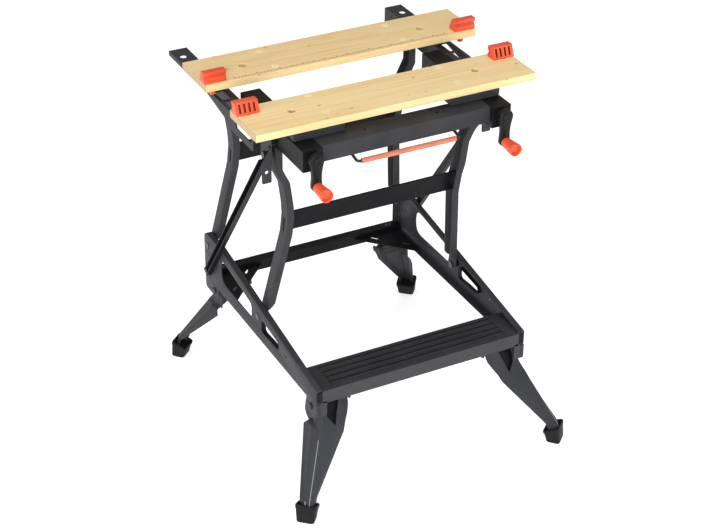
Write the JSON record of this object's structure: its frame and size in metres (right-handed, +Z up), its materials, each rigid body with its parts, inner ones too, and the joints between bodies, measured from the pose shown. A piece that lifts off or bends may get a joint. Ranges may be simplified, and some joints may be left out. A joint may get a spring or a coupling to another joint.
{
  "type": "folding workbench",
  "caption": "Folding workbench with two wooden vice jaws driven by crank screws, swivelling dogs, a parallelogram steel frame, a front step and fold-away legs.",
  "frame": {"origin": "on the floor under the middle of the bench's overall box", "axes": "+X to the right of a person standing at the step, +Y to the rear, +Z up"},
  "size_m": [0.6186, 0.706, 0.804],
  "materials": {
    "paint": "satin charcoal paint on folded sheet steel",
    "tread": "satin dark grey paint with pressed ribs",
    "pine": "planed pale pine, clear sealed",
    "orange": "moulded, fine satin grain",
    "sleeve": "soft vinyl sleeve",
    "boot": "matt moulded rubber boots",
    "zinc": "blackened steel pins and screws"
  },
  "bodies": {
    "base": {"side_arm_left": "paint", "side_arm_right": "paint", "step_tread": "tread", "rear_crossbar": "paint", "front_pivot_pin_left": "zinc", "front_pivot_pin_right": "zinc", "rear_pivot_pin_left": "zinc", "rear_pivot_pin_right": "zinc", "brace_pin_left": "zinc", "brace_pin_right": "zinc", "front_leg_pin_left": "zinc", "front_leg_pin_right": "zinc", "rear_leg_pin_left": "zinc", "rear_leg_pin_right": "zinc"},
    "rear_frame": {"rear_upright_left": "paint", "rear_upright_right": "paint", "rear_panel": "paint"},
    "front_frame": {"front_upright_left": "paint", "front_upright_right": "paint", "front_panel": "paint"},
    "top": {"side_rail_left": "paint", "side_rail_right": "paint", "screw_channel_left": "paint", "screw_channel_right": "paint", "front_beam": "paint", "rear_tie": "paint", "latch_plate_left": "paint", "latch_plate_right": "paint", "front_top_pin_left": "zinc", "front_top_pin_right": "zinc", "rear_top_pin_left": "zinc", "rear_top_pin_right": "zinc", "rear_jaw": "pine"},
    "moving_jaw": {"front_jaw": "pine", "jaw_carrier_left": "paint", "jaw_carrier_right": "paint"},
    "bail": {"bail_wire": "paint", "bail_sleeve": "sleeve"},
    "brace_left": {"brace_left": "paint"},
    "front_leg_left": {"front_leg_left": "paint", "front_foot_left": "boot"},
    "rear_leg_left": {"rear_leg_left": "paint", "rear_foot_left": "boot"},
    "brace_right": {"brace_right": "paint"},
    "front_leg_right": {"front_leg_right": "paint", "front_foot_right": "boot"},
    "rear_leg_right": {"rear_leg_right": "paint", "rear_foot_right": "boot"},
    "crank_left": {"vice_screw_left": "zinc", "crank_left": "paint"},
    "knob_left": {"crank_knob_left": "orange"},
    "front_dog_left": {"front_dog_left": "orange"},
    "rear_dog_left": {"rear_dog_left": "orange"},
    "crank_right": {"vice_screw_right": "zinc", "crank_right": "paint"},
    "knob_right": {"crank_knob_right": "orange"},
    "front_dog_right": {"front_dog_right": "orange"},
    "rear_dog_right": {"rear_dog_right": "orange"}
  },
  "joints": [
    {"name": "frame_fold", "type": "hinge", "parent": "base", "child": "rear_frame", "pos_m": [0, 0.268, 0.302], "axis": [1, 0, 0], "range_deg": [0, 70]},
    {"name": "front_link", "type": "hinge", "parent": "base", "child": "front_frame", "pos_m": [0, 0.008, 0.27], "axis": [1, 0, 0], "range_deg": [0, 70]},
    {"name": "top_level", "type": "hinge", "parent": "rear_frame", "child": "top", "pos_m": [0, 0.21, 0.712], "axis": [1, 0, 0], "range_deg": [-70, 0]},
    {"name": "brace_left_swing", "type": "hinge", "parent": "base", "child": "brace_left", "pos_m": [-0.248, 0.27, 0.24], "axis": [1, 0, 0], "range_deg": [0, 48]},
    {"name": "front_leg_left_fold", "type": "hinge", "parent": "base", "child": "front_leg_left", "pos_m": [-0.2, -0.243, 0.205], "axis": [1, 0, 0], "range_deg": [0, 90]},
    {"name": "rear_leg_left_fold", "type": "hinge", "parent": "base", "child": "rear_leg_left", "pos_m": [-0.2, 0.235, 0.205], "axis": [-1, 0, 0], "range_deg": [0, 90]},
    {"name": "brace_right_swing", "type": "hinge", "parent": "base", "child": "brace_right", "pos_m": [0.248, 0.27, 0.24], "axis": [1, 0, 0], "range_deg": [0, 48]},
    {"name": "front_leg_right_fold", "type": "hinge", "parent": "base", "child": "front_leg_right", "pos_m": [0.2, -0.243, 0.205], "axis": [1, 0, 0], "range_deg": [0, 90]},
    {"name": "rear_leg_right_fold", "type": "hinge", "parent": "base", "child": "rear_leg_right", "pos_m": [0.2, 0.235, 0.205], "axis": [-1, 0, 0], "range_deg": [0, 90]},
    {"name": "jaw_slide", "type": "slide", "parent": "top", "child": "moving_jaw", "axis": [0, 1, 0], "range_m": [0, 0.092]},
    {"name": "crank_left_turn", "type": "hinge", "parent": "top", "child": "crank_left", "pos_m": [-0.206, -0.2, 0.729], "axis": [0, 1, 0], "range_deg": [0, 5521]},
    {"name": "knob_left_spin", "type": "hinge", "parent": "crank_left", "child": "knob_left", "pos_m": [-0.206, -0.226, 0.675], "axis": [0, 1, 0], "continuous": true},
    {"name": "front_dog_left_swivel", "type": "hinge", "parent": "moving_jaw", "child": "front_dog_left", "pos_m": [-0.282, -0.058, 0.78], "axis": [0, 0, 1], "continuous": true},
    {"name": "rear_dog_left_swivel", "type": "hinge", "parent": "top", "child": "rear_dog_left", "pos_m": [-0.282, 0.108, 0.78], "axis": [0, 0, 1], "continuous": true},
    {"name": "crank_right_turn", "type": "hinge", "parent": "top", "child": "crank_right", "pos_m": [0.206, -0.2, 0.729], "axis": [0, 1, 0], "range_deg": [0, 5521]},
    {"name": "knob_right_spin", "type": "hinge", "parent": "crank_right", "child": "knob_right", "pos_m": [0.206, -0.226, 0.675], "axis": [0, 1, 0], "continuous": true},
    {"name": "front_dog_right_swivel", "type": "hinge", "parent": "moving_jaw", "child": "front_dog_right", "pos_m": [0.282, -0.058, 0.78], "axis": [0, 0, 1], "continuous": true},
    {"name": "rear_dog_right_swivel", "type": "hinge", "parent": "top", "child": "rear_dog_right", "pos_m": [0.282, 0.108, 0.78], "axis": [0, 0, 1], "continuous": true},
    {"name": "bail_swing", "type": "hinge", "parent": "top", "child": "bail", "pos_m": [0, -0.15, 0.706], "axis": [1, 0, 0], "range_deg": [0, 60]}
  ],
  "couplings": [
    {"joint": "front_link", "follows": "frame_fold", "ratio": 1},
    {"joint": "top_level", "follows": "frame_fold", "ratio": -1},
    {"joint": "brace_left_swing", "follows": "frame_fold", "ratio": 0.68},
    {"joint": "brace_right_swing", "follows": "frame_fold", "ratio": 0.68},
    {"joint": "crank_left_turn", "follows": "jaw_slide", "rad_per_m": 1047.2},
    {"joint": "crank_right_turn", "follows": "jaw_slide", "rad_per_m": 1047.2}
  ]
}
